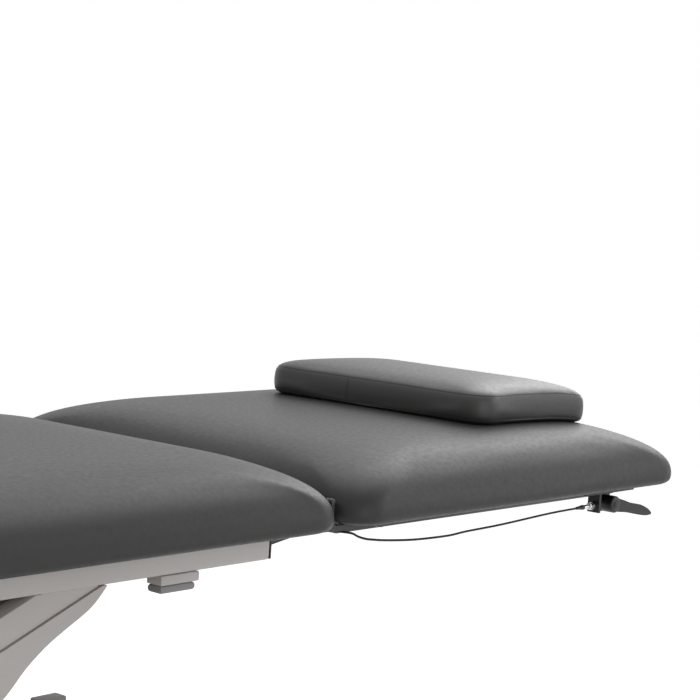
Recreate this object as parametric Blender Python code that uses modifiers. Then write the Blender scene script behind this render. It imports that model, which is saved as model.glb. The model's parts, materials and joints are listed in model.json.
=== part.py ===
import math

import bmesh
import bpy
from mathutils import Matrix, Vector

# Sizes in metres, angles in degrees
LENGTH = 2.000
WIDTH = 0.690
BACK_LENGTH = 0.780
SECTION_GAP = 0.010
CUSHION_HEIGHT = 0.086
LIP_HEIGHT = 0.018
END_ROLL = 0.460
ROLL_POWER = 6.5
PLAN_CORNER = 0.045
SIDE_PULL = 0.003
BOARD_INSET = 0.040
BOARD_THICKNESS = 0.015
PILLOW_LENGTH = 0.290
PILLOW_WIDTH = 0.424
PILLOW_HEIGHT = 0.060
PILLOW_CORNER = 0.050
PILLOW_FROM_HEAD = 0.212
PILLOW_PULL = 0.010
SEAT_GAP = 0.0003
PIN_GAP = 0.0003

RAIL_HEIGHT = 0.040
RAIL_WIDTH = 0.030
RAIL_CENTRE_Y = WIDTH / 2 - 0.086
RAIL_SETBACK = 0.070
RAIL_CAP = 0.003
TUBE_ROUND = 0.004
TRUSS_FROM_HINGE = 0.741
TRUSS_HALF = 0.390
TRUSS_SLOPE = 0.392
TRUSS_DEPTH = 0.0945
TRUSS_WIDTH = 0.025
TRUSS_CENTRE_Y = RAIL_CENTRE_Y - 0.001
GUSSET_IN = RAIL_CENTRE_Y + 0.0047
GUSSET_OUT = GUSSET_IN + 0.0098
GUSSET_LOBE = 0.034

PIVOT_SPACING = 0.360
PIVOT_DROP = 0.180
ARM_LENGTH = 0.440
ARM_REST = 73.0
ARM_LOW = 18.0
ARM_HALF = 0.030
ARM_IN = RAIL_CENTRE_Y - 0.031
ARM_OUT = ARM_IN + 0.035
AXLE_RADIUS = 0.010
AXLE_HALF = GUSSET_OUT + 0.004
STUB_IN = ARM_IN - 0.006
PIVOT_TUBE_RADIUS = 0.020
AXLE_HEIGHT = 0.105

CRANK_RADIUS = 0.260
HORN_ANGLE = 139.4
BASE_PIN_ANGLE = 4.41
FORK_IN = 0.026
FORK_OUT = 0.034
FORK_PIN = 0.008
FORK_EYE = 0.016
HOUSING_RADIUS = 0.024
HOUSING_END = 0.295
MOTOR_RADIUS = 0.029
LIFT_ROD_RADIUS = 0.011
LIFT_ROD_LENGTH = 0.282

BASE_FOOT_END = 0.950
BASE_HEAD_END = 0.450
BASE_TUBE = 0.0394
BASE_CENTRE_Y = RAIL_CENTRE_Y - 0.0045
FOOT_HEIGHT = 0.025
FOOT_RADIUS = 0.024
STOP_FROM_HINGE = 0.228
STOP_BLOCK_DROP = 0.012
STOP_RUBBER_DROP = 0.022
BUFFER_HEIGHT = 0.014
BUFFER_CLEAR = 0.0025

HINGE_RISE = 0.030
HINGE_EYE = 0.0046
HINGE_PIN = 0.0025
HINGE_SEAT_IN = WIDTH / 2 - 0.0465
HINGE_PLATE = 0.004
HINGE_REACH = 0.068
HINGE_STRAP = 0.116
GAS_HALF = 0.114
GAS_DROP = 0.082
GAS_RADIUS = 0.011
GAS_ROD_RADIUS = 0.005
GAS_ROD_LENGTH = 0.175
BACK_TUBE_HEIGHT = 0.020
CABLE_RADIUS = 0.0015
LEVER_Y = 0.037 - WIDTH / 2
DRUM_RADIUS = 0.0125

# Places that follow from the sizes
HINGE_X = LENGTH / 2 - BACK_LENGTH - SECTION_GAP / 2
REST = math.radians(ARM_REST)
LOW = math.radians(ARM_LOW)
UNDERSIDE = AXLE_HEIGHT + ARM_LENGTH * math.sin(REST) + PIVOT_DROP
LOW_SHIFT = ARM_LENGTH * (math.cos(LOW) - math.cos(REST))
LOW_DROP = ARM_LENGTH * (math.sin(REST) - math.sin(LOW))
HALF = WIDTH / 2


def at(x, z):
    return (x + HINGE_X, z + UNDERSIDE)


TRUSS_X = HINGE_X - TRUSS_FROM_HINGE
UPPER_FRONT = (TRUSS_X + PIVOT_SPACING / 2, UNDERSIDE - PIVOT_DROP)
UPPER_REAR = (TRUSS_X - PIVOT_SPACING / 2, UNDERSIDE - PIVOT_DROP)
LOWER_FRONT = (UPPER_FRONT[0] - ARM_LENGTH * math.cos(REST), AXLE_HEIGHT)
LOWER_REAR = (UPPER_REAR[0] - ARM_LENGTH * math.cos(REST), AXLE_HEIGHT)


def around(c, radius, degrees):
    a = math.radians(degrees)
    return (c[0] + radius * math.cos(a), c[1] + radius * math.sin(a))


HORN_PIN = around(LOWER_FRONT, CRANK_RADIUS, HORN_ANGLE)
BASE_PIN = around(LOWER_FRONT, CRANK_RADIUS, BASE_PIN_ANGLE)
HINGE = at(0, HINGE_RISE)
GAS_SEAT = at(-GAS_HALF, -GAS_DROP)
GAS_BACK = at(GAS_HALF, -GAS_DROP)
DRUM = at(0.631, -0.0374 + DRUM_RADIUS)
PAD_TOP = UNDERSIDE - LOW_DROP - RAIL_HEIGHT - STOP_RUBBER_DROP - BUFFER_CLEAR

LOOKS = {
    "upholstery": ((0.068, 0.066, 0.064), 0.46, 0.0),
    "board": ((0.34, 0.24, 0.15), 0.7, 0.0),
    "taupe_paint": ((0.50, 0.47, 0.43), 0.42, 0.0),
    "black_paint": ((0.018, 0.018, 0.019), 0.45, 0.0),
    "grey_rubber": ((0.16, 0.16, 0.16), 0.8, 0.0),
    "black_plastic": ((0.016, 0.016, 0.017), 0.4, 0.0),
    "grey_plastic": ((0.12, 0.12, 0.125), 0.5, 0.0),
    "bright_steel": ((0.62, 0.62, 0.63), 0.22, 1.0),
}

for old in list(bpy.data.objects):
    bpy.data.objects.remove(old)
parts = bpy.data.collections.new("physiotherapy_table")
cutters = bpy.data.collections.new("cutters")
for group in (parts, cutters):
    bpy.context.scene.collection.children.link(group)
cutters.hide_render = True


def pivot(name, place):
    empty = bpy.data.objects.new(name, None)
    empty.empty_display_size = 0.05
    empty.location = (place[0], 0.0, place[1])
    parts.objects.link(empty)
    return empty


BODIES = {
    "base": pivot("base_pivot", (0.0, 0.0)),
    "upper_frame": pivot("upper_frame_pivot", UPPER_FRONT),
    "front_arms": pivot("front_arms_pivot", LOWER_FRONT),
    "rear_arms": pivot("rear_arms_pivot", LOWER_REAR),
    "actuator_housing": pivot("actuator_housing_pivot", BASE_PIN),
    "actuator_rod": pivot("actuator_rod_pivot", HORN_PIN),
    "back_section": pivot("back_section_pivot", HINGE),
    "gas_cylinder": pivot("gas_cylinder_pivot", GAS_SEAT),
    "gas_rod": pivot("gas_rod_pivot", GAS_BACK),
    "release_lever": pivot("release_lever_pivot", DRUM),
    "pillow": pivot("pillow_pivot", (HINGE_X, UNDERSIDE)),
}


# Mesh makers, all in world coordinates
def close(bm, name):
    bmesh.ops.remove_doubles(bm, verts=bm.verts, dist=0.00002)
    bmesh.ops.recalc_face_normals(bm, faces=bm.faces)
    mesh = bpy.data.meshes.new(name)
    bm.to_mesh(mesh)
    bm.free()
    return mesh


def block(x, y, z):
    bm = bmesh.new()
    bmesh.ops.create_cube(bm, size=1.0)
    size = Vector((x[1] - x[0], y[1] - y[0], z[1] - z[0]))
    middle = Vector((x[0] + x[1], y[0] + y[1], z[0] + z[1])) / 2
    for v in bm.verts:
        v.co = Vector(v.co[i] * size[i] for i in range(3)) + middle
    return close(bm, "block")


def rod(p0, p1, radius, sides=24):
    p0, p1 = Vector(p0), Vector(p1)
    turn = (p1 - p0).to_track_quat("Z", "Y").to_matrix().to_4x4()
    bm = bmesh.new()
    bmesh.ops.create_cone(bm, cap_ends=True, segments=sides, radius1=radius, radius2=radius,
                          depth=(p1 - p0).length, matrix=Matrix.Translation((p0 + p1) / 2) @ turn)
    return close(bm, "rod")


def cross(c, radius, y0, y1, sides=24):
    return rod((c[0], y0, c[1]), (c[0], y1, c[1]), radius, sides)


def circle(c, radius, sides=24):
    return [around(c, radius, 360 * i / sides) for i in range(sides)]


def hull(points):
    points = sorted(set(points))

    def half(seq):
        out = []
        for p in seq:
            while len(out) > 1 and ((out[-1][0] - out[-2][0]) * (p[1] - out[-2][1])
                                    - (out[-1][1] - out[-2][1]) * (p[0] - out[-2][0])) <= 1e-12:
                out.pop()
            out.append(p)
        return out[:-1]
    return half(points) + half(points[::-1])


def smooth(points, steps):
    ends = [points[0]] + list(points) + [points[-1]]
    out = []
    for i in range(1, len(ends) - 2):
        a, b, c, d = (Vector(p) for p in ends[i - 1:i + 3])
        for k in range(steps):
            t = k / steps
            out.append(tuple(0.5 * (2 * b + (c - a) * t + (2 * a - 5 * b + 4 * c - d) * t * t
                                    + (3 * b - a - 3 * c + d) * t ** 3)))
    return out + [tuple(points[-1])]


def plate(loops, y0, y1):
    curve = bpy.data.curves.new("outline", "CURVE")
    curve.dimensions = "2D"
    curve.fill_mode = "BOTH"
    curve.extrude = abs(y1 - y0) / 2
    for loop in loops:
        spline = curve.splines.new("POLY")
        spline.points.add(len(loop) - 1)
        for point, (x, z) in zip(spline.points, loop):
            point.co = (x, z, 0.0, 1.0)
        spline.use_cyclic_u = True
    flat = bpy.data.objects.new("outline", curve)
    mesh = bpy.data.meshes.new_from_object(flat)
    bpy.data.objects.remove(flat)
    bpy.data.curves.remove(curve)
    mesh.transform(Matrix.Translation((0, (y0 + y1) / 2, 0)) @ Matrix.Rotation(math.pi / 2, 4, "X"))
    bm = bmesh.new()
    bm.from_mesh(mesh)
    bpy.data.meshes.remove(mesh)
    return close(bm, "plate")


def ring(x, y, corner, z, inset=(0.0, 0.0), pull=(0.0, 0.0), arc=6, edge=0):
    cx, cy = (x[0] + x[1]) / 2, (y[0] + y[1]) / 2
    hx, hy = (x[1] - x[0]) / 2 - inset[0], (y[1] - y[0]) / 2 - inset[1]
    flat = []
    for k, (sx, sy) in enumerate(((1, 1), (-1, 1), (-1, -1), (1, -1))):
        mid = (sx * (hx - corner), sy * (hy - corner))
        flat += [around(mid, corner, 90 * k + 90 * i / arc) for i in range(arc + 1)]
        far = ((-sx, sy) if k % 2 == 0 else (sx, -sy))
        last = flat[-1]
        turn = around((far[0] * (hx - corner), far[1] * (hy - corner)), corner, 90 * k + 90)
        for i in range(1, edge + 1):
            t = i / (edge + 1)
            flat.append((last[0] + (turn[0] - last[0]) * t, last[1] + (turn[1] - last[1]) * t))
    return [(cx + px * (1 - pull[0] / hx * (1 - (py / hy) ** 2)),
             cy + py * (1 - pull[1] / hy * (1 - (px / hx) ** 2)), z) for px, py in flat]


def loft(rings):
    bm = bmesh.new()
    rows = [[bm.verts.new(p) for p in row] for row in rings]
    for low, high in zip(rows, rows[1:]):
        for i in range(len(low)):
            j = (i + 1) % len(low)
            bm.faces.new((low[i], low[j], high[j], high[i]))
    bm.faces.new(rows[0][::-1])
    bm.faces.new(rows[-1])
    return close(bm, "loft")


# Objects
def add(name, mesh, slot, body, round_edges=0.0):
    colour, roughness, metallic = LOOKS[slot]
    material = bpy.data.materials.new(name)
    material.use_nodes = True
    shader = material.node_tree.nodes["Principled BSDF"]
    shader.inputs["Base Color"].default_value = (*colour, 1.0)
    shader.inputs["Roughness"].default_value = roughness
    shader.inputs["Metallic"].default_value = metallic
    parent = BODIES[body]
    mesh.name = name
    mesh.transform(Matrix.Translation(-parent.location))
    mesh.materials.clear()
    mesh.materials.append(material)
    piece = bpy.data.objects.new(name, mesh)
    piece.parent = parent
    parts.objects.link(piece)
    if round_edges:
        bevel = piece.modifiers.new("round", "BEVEL")
        bevel.width = round_edges
        bevel.segments = 2
        bevel.limit_method = "ANGLE"
    return piece


def combine(piece, mesh, operation):
    tool = bpy.data.objects.new(piece.name + "_" + operation.lower(), mesh)
    tool.display_type = "WIRE"
    tool.hide_render = True
    cutters.objects.link(tool)
    change = piece.modifiers.new(operation.lower(), "BOOLEAN")
    change.operation = operation
    change.solver = "EXACT"
    change.object = tool
    return piece


def join(piece, *meshes):
    for mesh in meshes:
        combine(piece, mesh, "UNION")


def cut(piece, *meshes):
    for mesh in meshes:
        combine(piece, mesh, "DIFFERENCE")


def sides(inner, outer):
    return (("near", -outer, -inner, -1), ("far", inner, outer, 1))


# Upholstery
def cushion(name, x, body, board):
    y = (-HALF, HALF)
    base = UNDERSIDE
    rise = CUSHION_HEIGHT - LIP_HEIGHT
    drawn = (SIDE_PULL / 2, SIDE_PULL)
    pocket = (BOARD_INSET, BOARD_INSET)
    rows = [ring(x, y, 0.02, base + BOARD_THICKNESS + SEAT_GAP, pocket),
            ring(x, y, 0.02, base, pocket),
            ring(x, y, PLAN_CORNER, base, (0.012, 0.009), drawn),
            ring(x, y, PLAN_CORNER, base + 0.006, (0.004, 0.003), drawn),
            ring(x, y, PLAN_CORNER, base + LIP_HEIGHT, (0.0, 0.0), drawn)]
    # Level rings of a swelling top, whose height is the root of 1 - u ** ROLL_POWER
    for degrees in (16, 32, 46, 58, 68, 76, 82, 87.5):
        a = math.radians(degrees)
        u = math.cos(a) ** (2 / ROLL_POWER)
        rows.append(ring(x, y, PLAN_CORNER + 0.06 * (1 - u), base + LIP_HEIGHT + rise * math.sin(a),
                         (END_ROLL * (1 - u), HALF * (1 - u)), (drawn[0] * u, drawn[1] * u)))
    add(name, loft(rows), "upholstery", body)
    tuck = (BOARD_INSET + SEAT_GAP, BOARD_INSET + SEAT_GAP)
    slab = [ring(x, y, 0.02, base + h, tuck) for h in (0.0, BOARD_THICKNESS)]
    add(board, loft(slab), "board", body)


cushion("seat_cushion", (-LENGTH / 2, HINGE_X - SECTION_GAP / 2), "upper_frame", "seat_board")
cushion("back_cushion", (HINGE_X + SECTION_GAP / 2, LENGTH / 2), "back_section", "back_board")

pillow_x = LENGTH / 2 - PILLOW_FROM_HEAD
pillow_z = UNDERSIDE + CUSHION_HEIGHT + SEAT_GAP
pillow_rows = []
for rise, inset in ((0.0, 0.075), (0.0, 0.020), (0.003, 0.008), (0.008, 0.002), (0.014, 0.0),
                    (0.040, 0.0), (0.045, 0.003), (0.050, 0.012), (0.054, 0.030),
                    (0.057, 0.065), (1.0, 0.105)):
    pillow_rows.append(ring((pillow_x - PILLOW_LENGTH / 2, pillow_x + PILLOW_LENGTH / 2),
                            (-PILLOW_WIDTH / 2, PILLOW_WIDTH / 2), max(0.012, PILLOW_CORNER - 0.4 * inset),
                            pillow_z + min(rise, PILLOW_HEIGHT), (inset, inset),
                            (PILLOW_PULL, PILLOW_PULL), arc=4, edge=5))
add("pillow", loft(pillow_rows), "upholstery", "pillow")

# Seat frame
rail_z = (UNDERSIDE - SEAT_GAP - RAIL_HEIGHT, UNDERSIDE - SEAT_GAP)
rail_x = (-LENGTH / 2 + RAIL_SETBACK, HINGE_X - RAIL_SETBACK)
rail_in, rail_out = RAIL_CENTRE_Y - RAIL_WIDTH / 2, RAIL_CENTRE_Y + RAIL_WIDTH / 2
stop_x = HINGE_X - STOP_FROM_HINGE
for side, y0, y1, s in sides(rail_in, rail_out):
    span = (rail_x[0] + RAIL_CAP + SEAT_GAP, rail_x[1] - RAIL_CAP - SEAT_GAP)
    add("seat_rail_" + side, block(span, (y0, y1), rail_z), "taupe_paint", "upper_frame", TUBE_ROUND)
    stop_y = (y0 + 0.0005, y1 - 0.005) if s < 0 else (y0 + 0.005, y1 - 0.0005)
    block_z = (rail_z[0] - STOP_BLOCK_DROP, rail_z[0] - SEAT_GAP)
    add("stop_block_" + side, block((stop_x - 0.030, stop_x + 0.033), stop_y, block_z), "taupe_paint",
        "upper_frame", 0.0015)
    rubber_z = (rail_z[0] - STOP_RUBBER_DROP, block_z[0] - SEAT_GAP)
    add("stop_rubber_" + side, block((stop_x - 0.0295, stop_x + 0.028), stop_y, rubber_z), "grey_rubber",
        "upper_frame", 0.004)
    for end, x0 in (("hinge", rail_x[1] - RAIL_CAP), ("foot", rail_x[0])):
        add("rail_cap_" + side + "_" + end, block((x0, x0 + RAIL_CAP), (y0 + 0.0008, y1 - 0.0008),
            (rail_z[0] + 0.0008, rail_z[1] - 0.0008)), "black_plastic", "upper_frame", 0.001)

truss_top = rail_z[0] - SEAT_GAP
truss_low = truss_top - TRUSS_SLOPE * TRUSS_HALF
truss_inner = truss_top - TRUSS_SLOPE * (TRUSS_HALF - TRUSS_DEPTH)
truss = [(TRUSS_X + TRUSS_HALF, truss_top), (TRUSS_X + TRUSS_HALF - TRUSS_DEPTH, truss_top),
         (TRUSS_X, truss_inner), (TRUSS_X - TRUSS_HALF + TRUSS_DEPTH, truss_top),
         (TRUSS_X - TRUSS_HALF, truss_top), (TRUSS_X, truss_low)]
for side, y0, y1, s in sides(TRUSS_CENTRE_Y - TRUSS_WIDTH / 2, TRUSS_CENTRE_Y + TRUSS_WIDTH / 2):
    add("truss_" + side, plate([truss], y0, y1), "taupe_paint", "upper_frame", 0.002)

# Gusset edge, measured from the top of the truss leg and turned with its slope
groove = 0.0006
edge = smooth([(0.0080, -0.0002), (-0.0052, -0.0146), (-0.0210, -0.0268), (-0.0540, -0.0441),
               (-0.0806, -0.0594), (-0.1065, -0.0792), (-0.1263, -0.0992), (-0.1369, -0.1086)], 3)
leg = (TRUSS_X + TRUSS_HALF, truss_top)
foot_x = UPPER_FRONT[0] - 0.059
gusset = [(leg[0] + groove, truss_top)] + [(leg[0] + x, truss_top + z) for x, z in edge]
gusset += [around(UPPER_FRONT, GUSSET_LOBE, -45 - 15 * i) for i in range(11)]
gusset += [(foot_x + 0.010, truss_top - TRUSS_SLOPE * (leg[0] - foot_x - 0.010) - 0.007),
           (foot_x, truss_top - TRUSS_SLOPE * (leg[0] - foot_x) - groove)]
mirror = [(2 * TRUSS_X - x, z) for x, z in gusset]
for side, y0, y1, s in sides(GUSSET_IN, GUSSET_OUT):
    # Each pin is a stub, so that the lift actuator passes between the two sides
    for end, outline, c in (("front", gusset, UPPER_FRONT), ("rear", mirror, UPPER_REAR)):
        flank = add("pivot_gusset_" + side + "_" + end, plate([outline], y0, y1), "taupe_paint",
                    "upper_frame")
        join(flank, cross(c, AXLE_RADIUS, s * STUB_IN, s * AXLE_HALF))

inner = rail_in - SEAT_GAP
front_cross = add("seat_cross_front", block((GAS_SEAT[0] - 0.015, GAS_SEAT[0] + 0.015), (-inner,
        inner), rail_z),
                  "black_paint", "upper_frame", TUBE_ROUND)
for side, y0, y1, s in sides(0.016, 0.022):
    lug = hull(circle(GAS_SEAT, 0.012) + [(GAS_SEAT[0] - 0.013, rail_z[0] + 0.012),
                                          (GAS_SEAT[0] + 0.013, rail_z[0] + 0.012)])
    join(front_cross, plate([lug, circle(GAS_SEAT, 0.006 + PIN_GAP)], y0, y1))
truss_in = TRUSS_CENTRE_Y - TRUSS_WIDTH / 2 - SEAT_GAP
add("seat_cross_mid", block((leg[0] - 0.115, leg[0] - 0.060), (-truss_in, truss_in),
    (truss_top - 0.058, truss_top - 0.004)), "black_paint", "upper_frame", TUBE_ROUND)
add("seat_cross_rear", block((rail_x[0] + 0.030, rail_x[0] + 0.060), (-inner, inner), rail_z),
    "taupe_paint", "upper_frame", TUBE_ROUND)

# Back section hinge: an eye in the gap between the cushions on a strap under each board
def hinge_outline(s, strap):
    stem = HINGE_EYE - 0.0002
    low = [at(s * x, z) for x, z in strap + [(0.0, -0.0080), (stem, -0.0040)]]
    top = [around(HINGE, HINGE_EYE, 180 * i / 8 if s > 0 else 180 - 180 * i / 8) for i in range(9)]
    back = [at(s * x, z) for x, z in ((-stem, 0.0040), (-0.0090, -0.0006), (strap[0][0], -0.0006))]
    return low + top + back


seat_strap = [(-HINGE_REACH, -0.0080)]
back_strap = [(-x, z) for x, z in smooth([(HINGE_STRAP, -0.0070), (0.099, -0.0106), (0.081, -0.0070),
                                          (0.058, -0.0098), (0.032, -0.0080)], 4)]
back_in = HINGE_SEAT_IN + HINGE_PLATE + 0.0005
arm_y = (RAIL_CENTRE_Y + 0.004, RAIL_CENTRE_Y + 0.012)
tab_z = (UNDERSIDE - 0.0060, UNDERSIDE - 0.0004)
# The arm carries on the rail's end, tapering towards the hinge
rail_arm = [at(x, z) for x, z in ((-RAIL_SETBACK + SEAT_GAP, -0.0006), (-0.012, -0.0006), (-0.008, -0.0136),
                                  (-RAIL_SETBACK + SEAT_GAP, -0.0227))]
for side, y0, y1, s in sides(HINGE_SEAT_IN, HINGE_SEAT_IN + HINGE_PLATE):
    seat_half = add("seat_hinge_" + side, plate([hinge_outline(1, seat_strap)], y0, y1), "black_paint",
                    "upper_frame")
    tab_y = sorted((s * (arm_y[0] + 0.002), s * (HINGE_SEAT_IN + 0.0006)))
    join(seat_half, plate([rail_arm], *sorted((s * arm_y[0], s * arm_y[1]))),
         block((HINGE_X - HINGE_REACH + 0.0005, HINGE_X - 0.047), tab_y, tab_z),
         cross(HINGE, HINGE_PIN, s * (HINGE_SEAT_IN + 0.002), s * (back_in + HINGE_PLATE + 0.0008), 16))
for side, y0, y1, s in sides(back_in, back_in + HINGE_PLATE):
    loops = [hinge_outline(-1, back_strap), circle(HINGE, HINGE_PIN + PIN_GAP, 16)]
    back_half = add("back_hinge_" + side, plate(loops, y0, y1), "black_paint", "back_section")
    tab_y = sorted((s * (rail_out + SEAT_GAP), s * (back_in + 0.0007)))
    join(back_half, block((HINGE_X + 0.050, HINGE_X + 0.112), tab_y, tab_z))

# Back frame
back_z = (UNDERSIDE - SEAT_GAP - BACK_TUBE_HEIGHT, UNDERSIDE - SEAT_GAP)
back_x = (HINGE_X + 0.050, HINGE_X + BACK_LENGTH - 0.085)
for side, y0, y1, s in sides(rail_in, rail_out):
    add("back_tube_" + side, block(back_x, (y0, y1), back_z), "black_paint", "back_section", 0.003)
back_cross = add("back_cross_hinge", block((back_x[0], back_x[0] + 0.030), (-inner, inner), back_z),
                 "black_paint", "back_section", 0.003)
for side, y0, y1, s in sides(0.0145, 0.0205):
    lug = hull(circle(GAS_BACK, 0.011) + [(back_x[0] + 0.003, back_z[0] + 0.008), (back_x[0] + 0.027,
            back_z[0] + 0.008)])
    join(back_cross, plate([lug], y0, y1))
join(back_cross, cross(GAS_BACK, 0.005, -0.022, 0.022, 16),
     block((GAS_BACK[0] - 0.014, GAS_BACK[0] - 0.003), (-0.032, -0.0195), (GAS_BACK[1] + 0.016,
             GAS_BACK[1] + 0.030)))
add("back_cross_head", block((back_x[1] - 0.045, back_x[1] - 0.015), (-inner, inner), back_z),
    "black_paint", "back_section", 0.003)

# Gas spring
cylinder = add("gas_cylinder", rod((GAS_SEAT[0] - 0.100, 0, GAS_SEAT[1]), (GAS_SEAT[0] + 0.174, 0,
        GAS_SEAT[1]), GAS_RADIUS),
               "black_paint", "gas_cylinder")
join(cylinder, cross(GAS_SEAT, 0.006, -0.024, 0.024, 16))
cut(cylinder, rod((GAS_SEAT[0] - 0.070, 0, GAS_SEAT[1]), (GAS_SEAT[0] + 0.180, 0, GAS_SEAT[1]),
        GAS_ROD_RADIUS + 0.0005, 16))
gas_rod = add("gas_rod", rod((GAS_BACK[0] - GAS_ROD_LENGTH, 0, GAS_BACK[1]), (GAS_BACK[0] - 0.006, 0,
        GAS_BACK[1]),
              GAS_ROD_RADIUS, 16), "bright_steel", "gas_rod")
join(gas_rod, cross(GAS_BACK, 0.010, -0.0125, 0.0125))
cut(gas_rod, cross(GAS_BACK, 0.005 + PIN_GAP, -0.02, 0.02, 16))

# Release lever under the near edge of the back section
bracket_y = (LEVER_Y - 0.018, -rail_out - SEAT_GAP)
bracket_z = (UNDERSIDE - 0.0045, UNDERSIDE - 0.0004)
bracket = add("lever_bracket", block((at(0.540, 0)[0], at(0.667, 0)[0]), bracket_y, bracket_z),
              "black_plastic", "back_section", 0.0015)
cheek = hull(circle(DRUM, 0.013) + [(DRUM[0] - 0.020, UNDERSIDE - 0.003), (DRUM[0] + 0.020,
        UNDERSIDE - 0.003)])
join(bracket, plate([cheek], LEVER_Y + 0.0115, LEVER_Y + 0.0155),
     cross(DRUM, 0.004, LEVER_Y - 0.0115, LEVER_Y + 0.013, 16),
     block((at(0.5875, 0)[0], at(0.592, 0)[0]), (LEVER_Y - 0.010, LEVER_Y + 0.010),
             (UNDERSIDE - 0.034, UNDERSIDE - 0.002)))
lever = add("release_lever", cross(DRUM, DRUM_RADIUS, LEVER_Y - 0.011, LEVER_Y + 0.011),
        "black_plastic", "release_lever", 0.002)
blade = [at(x, z) for x, z in smooth([(0.634, -0.0150), (0.655, -0.0205), (0.676, -0.0265), (0.700,
        -0.0305),
                                      (0.722, -0.0385), (0.7326, -0.0455)], 3)]
blade += [at(x, z) for x, z in smooth([(0.7318, -0.0483), (0.715, -0.0485), (0.690, -0.0445), (0.665,
        -0.0395),
                                       (0.634, -0.0360)], 3)]
join(lever, plate([blade], LEVER_Y - 0.0102, LEVER_Y + 0.0102))
cut(lever, cross(DRUM, 0.004 + PIN_GAP, LEVER_Y - 0.02, LEVER_Y + 0.02, 16))
adjust_z = UNDERSIDE - 0.0245
adjuster = add("cable_adjuster", rod((at(0.5590, 0)[0], LEVER_Y, adjust_z), (at(0.5830, 0)[0],
        LEVER_Y, adjust_z), 0.003, 16),
               "bright_steel", "back_section")
join(adjuster, rod((at(0.5815, 0)[0], LEVER_Y, adjust_z), (at(0.5872, 0)[0], LEVER_Y, adjust_z),
        0.0057, 16))

# Release cable, from the stop beside the gas rod to the adjuster
CABLE_OUT = LEVER_Y - 0.0017
CABLE_ROUTE = [(0.0992, -0.0262, -0.0590), (0.088, -0.0280, -0.0540), (0.070, -0.045, -0.0340),
               (0.052, -0.080, -0.0260), (0.040, -0.130, -0.0200), (0.034, -0.200, -0.0150),
               (0.028, -0.255, -0.0122), (0.0265, -0.284, -0.0114), (0.0300, LEVER_Y + 0.0075, -0.0110),
               (0.0395, CABLE_OUT + 0.0010, -0.0126), (0.0503, CABLE_OUT, -0.0174),
               (0.0645, CABLE_OUT, -0.0216), (0.0786, CABLE_OUT, -0.0241), (0.1112, LEVER_Y, -0.0285),
               (0.1698, LEVER_Y, -0.0333), (0.2406, LEVER_Y, -0.0350), (0.2801, LEVER_Y, -0.0331),
               (0.3622, LEVER_Y, -0.0311), (0.4795, LEVER_Y, -0.0258), (0.5580, LEVER_Y, -0.0245)]
route = smooth([(at(x, z)[0], y, at(x, z)[1]) for x, y, z in CABLE_ROUTE], 4)
cable = bpy.data.curves.new("release_cable", "CURVE")
cable.dimensions = "3D"
cable.bevel_depth = CABLE_RADIUS
cable.bevel_resolution = 2
cable.use_fill_caps = True
strand = cable.splines.new("POLY")
strand.points.add(len(route) - 1)
for point, p in zip(strand.points, route):
    point.co = (*p, 1.0)
line = bpy.data.objects.new("route", cable)
bm = bmesh.new()
tube = bpy.data.meshes.new_from_object(line)
bm.from_mesh(tube)
bpy.data.objects.remove(line)
add("release_cable", close(bm, "release_cable"), "black_plastic", "back_section")

# Lift arms
def arm(name, low, high, y0, y1, body):
    outline = hull(circle(low, ARM_HALF) + circle(high, ARM_HALF))
    bore = AXLE_RADIUS + PIN_GAP
    add(name, plate([outline, circle(low, bore), circle(high, bore)], y0, y1), "taupe_paint", body)


for side, y0, y1, s in sides(ARM_IN, ARM_OUT):
    arm("arm_front_" + side, LOWER_FRONT, UPPER_FRONT, y0, y1, "front_arms")
    arm("arm_rear_" + side, LOWER_REAR, UPPER_REAR, y0, y1, "rear_arms")
tube_half = ARM_IN - SEAT_GAP
bore = AXLE_RADIUS + PIN_GAP
front_tube = add("pivot_tube_front", cross(LOWER_FRONT, PIVOT_TUBE_RADIUS, -tube_half, tube_half),
        "taupe_paint", "front_arms")
for side, y0, y1, s in sides(FORK_IN, FORK_OUT):
    join(front_tube, plate([hull(circle(LOWER_FRONT, 0.026) + circle(HORN_PIN, 0.019))], y0, y1))
join(front_tube, cross(HORN_PIN, FORK_PIN, -FORK_OUT - 0.002, FORK_OUT + 0.002, 16))
cut(front_tube, cross(LOWER_FRONT, bore, -ARM_OUT, ARM_OUT))
rear_tube = add("pivot_tube_rear", cross(LOWER_REAR, PIVOT_TUBE_RADIUS, -tube_half, tube_half),
        "taupe_paint", "rear_arms")
cut(rear_tube, cross(LOWER_REAR, bore, -ARM_OUT, ARM_OUT))

# Lift actuator, drawn along its own axis from the base pin
reach = math.hypot(HORN_PIN[0] - BASE_PIN[0], HORN_PIN[1] - BASE_PIN[1])
tilt = math.atan2(HORN_PIN[1] - BASE_PIN[1], HORN_PIN[0] - BASE_PIN[0])
lie = Matrix.Translation((BASE_PIN[0], 0, BASE_PIN[1])) @ Matrix.Rotation(-tilt, 4, "Y")


def along(mesh):
    mesh.transform(lie)
    return mesh


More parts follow.
